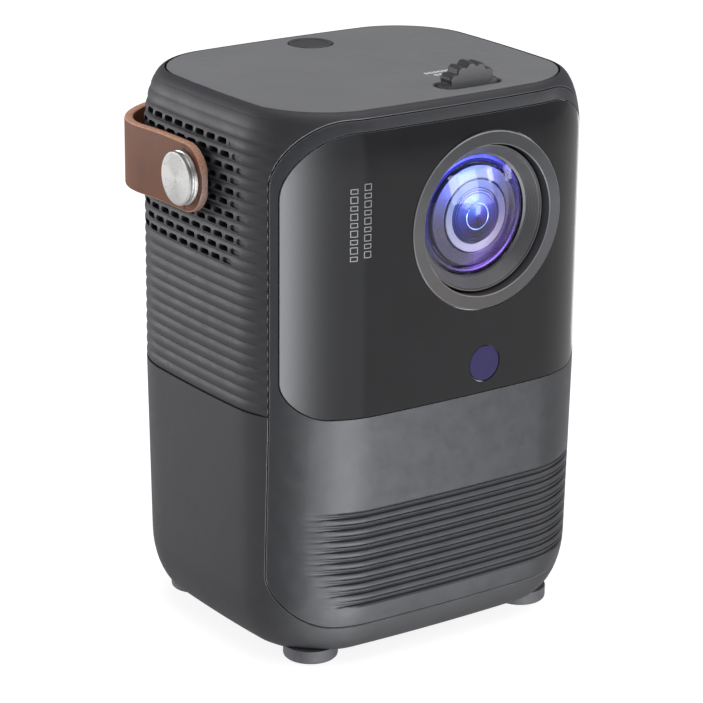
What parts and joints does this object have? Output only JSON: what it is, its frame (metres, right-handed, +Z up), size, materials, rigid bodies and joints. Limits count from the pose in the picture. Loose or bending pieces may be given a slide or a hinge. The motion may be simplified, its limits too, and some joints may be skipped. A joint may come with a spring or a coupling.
{
  "type": "home projector",
  "caption": "Upright rounded projector with an off-centre lens in a gloss front panel, focus wheel and power button on top, side vents and a leather carrying strap.",
  "frame": {"origin": "middle of the whole footprint, strap and lens ring included, on the plane the feet stand on", "axes": "+Z up, the lens faces -Y, +X is the projector's left-hand side seen from behind it, which is the viewer's right facing the lens"},
  "size_m": [0.1504, 0.1218, 0.1992],
  "materials": {
    "housing_plastic": "fine matt texture",
    "cover_plastic": "satin",
    "gloss_plastic": "high gloss",
    "satin_ring": "satin metallic paint",
    "black_plastic": "satin",
    "lens_glass": "coated, polished",
    "ir_filter": "smooth, infrared clear",
    "leather": "grained, stitched edge",
    "steel": "brushed",
    "aluminium": "plain",
    "brass": "plain",
    "rubber": "matt",
    "circuit_board": "solder mask",
    "speaker_cone": "pressed paper",
    "mirror": "front silvered",
    "lcd": "smooth"
  },
  "bodies": {
    "case": {"upper_housing": "housing_plastic", "lower_housing": "housing_plastic", "front_bezel": "housing_plastic", "top_cover": "cover_plastic", "front_panel": "gloss_plastic", "lens_trim_ring": "satin_ring", "lens_holder": "black_plastic", "engine_housing": "black_plastic", "fan_frame": "black_plastic", "port_plate": "black_plastic", "audio_jack": "black_plastic", "power_inlet": "black_plastic", "strap_washer_left": "black_plastic", "strap_washer_right": "black_plastic", "fresnel_lens_upper": "lens_glass", "fresnel_lens_lower": "lens_glass", "condenser_lens": "lens_glass", "ir_window": "ir_filter", "rear_ir_window": "ir_filter", "strap_pin_left": "steel", "strap_pin_right": "steel", "strap_cap_left": "steel", "strap_cap_right": "steel", "focus_bracket": "steel", "speaker_frame": "steel", "speaker_magnet": "steel", "hdmi_socket": "steel", "usb_socket_left": "steel", "usb_socket_right": "steel", "foot_screw_front_left": "steel", "foot_screw_front_right": "steel", "foot_screw_back_left": "steel", "foot_screw_back_right": "steel", "heat_sink": "aluminium", "led_module": "aluminium", "inner_chassis": "aluminium", "tripod_insert": "brass", "foot_front_left": "rubber", "foot_front_right": "rubber", "foot_back_left": "rubber", "foot_back_right": "rubber", "main_board": "circuit_board", "power_board": "circuit_board", "port_board": "circuit_board", "button_board": "circuit_board", "ir_receiver": "circuit_board", "fold_mirror": "mirror", "lcd_panel": "lcd"},
    "strap_body": {"strap": "leather"},
    "focus_wheel_body": {"focus_wheel": "black_plastic", "focus_wheel_axle": "steel"},
    "focus_ring_body": {"focus_gear_ring": "black_plastic"},
    "lens_body": {"lens_barrel": "black_plastic", "front_lens_element": "lens_glass", "middle_lens_element": "lens_glass", "rear_lens_element": "lens_glass"},
    "button_body": {"power_button": "black_plastic"},
    "fan_body": {"fan_rotor": "black_plastic"},
    "speaker_cone_body": {"speaker_cone": "speaker_cone"}
  },
  "joints": [
    {"name": "focus_ring_turn", "type": "hinge", "parent": "case", "child": "focus_ring_body", "pos_m": [0.0102, -0.0407, 0.15], "axis": [0, -1, 0], "range_deg": [-45, 45]},
    {"name": "focus_wheel_turn", "type": "hinge", "parent": "case", "child": "focus_wheel_body", "pos_m": [0.0157, -0.0407, 0.188], "axis": [0, -1, 0], "range_deg": [-114, 114]},
    {"name": "lens_focus_slide", "type": "slide", "parent": "case", "child": "lens_body", "axis": [0, -1, 0], "range_m": [-0.0015, 0.0015]},
    {"name": "power_button_press", "type": "slide", "parent": "case", "child": "button_body", "axis": [0, 0, -1], "range_m": [0, 0.0006], "stiffness_N_per_m": 400, "springref_m": -0.0015},
    {"name": "fan_spin", "type": "hinge", "parent": "case", "child": "fan_body", "pos_m": [0.053, 0.0003, 0.158], "axis": [1, 0, 0], "continuous": true},
    {"name": "strap_swing", "type": "hinge", "parent": "case", "child": "strap_body", "pos_m": [0, -0.0042, 0.164], "axis": [1, 0, 0], "range_deg": [-5, 95]},
    {"name": "speaker_cone_move", "type": "slide", "parent": "case", "child": "speaker_cone_body", "axis": [0, -1, 0], "range_m": [-0.00025, 0.00025], "stiffness_N_per_m": 1500}
  ],
  "couplings": [
    {"joint": "focus_ring_turn", "follows": "lens_focus_slide", "rad_per_m": 520},
    {"joint": "focus_wheel_turn", "follows": "lens_focus_slide", "rad_per_m": -1317.3}
  ]
}
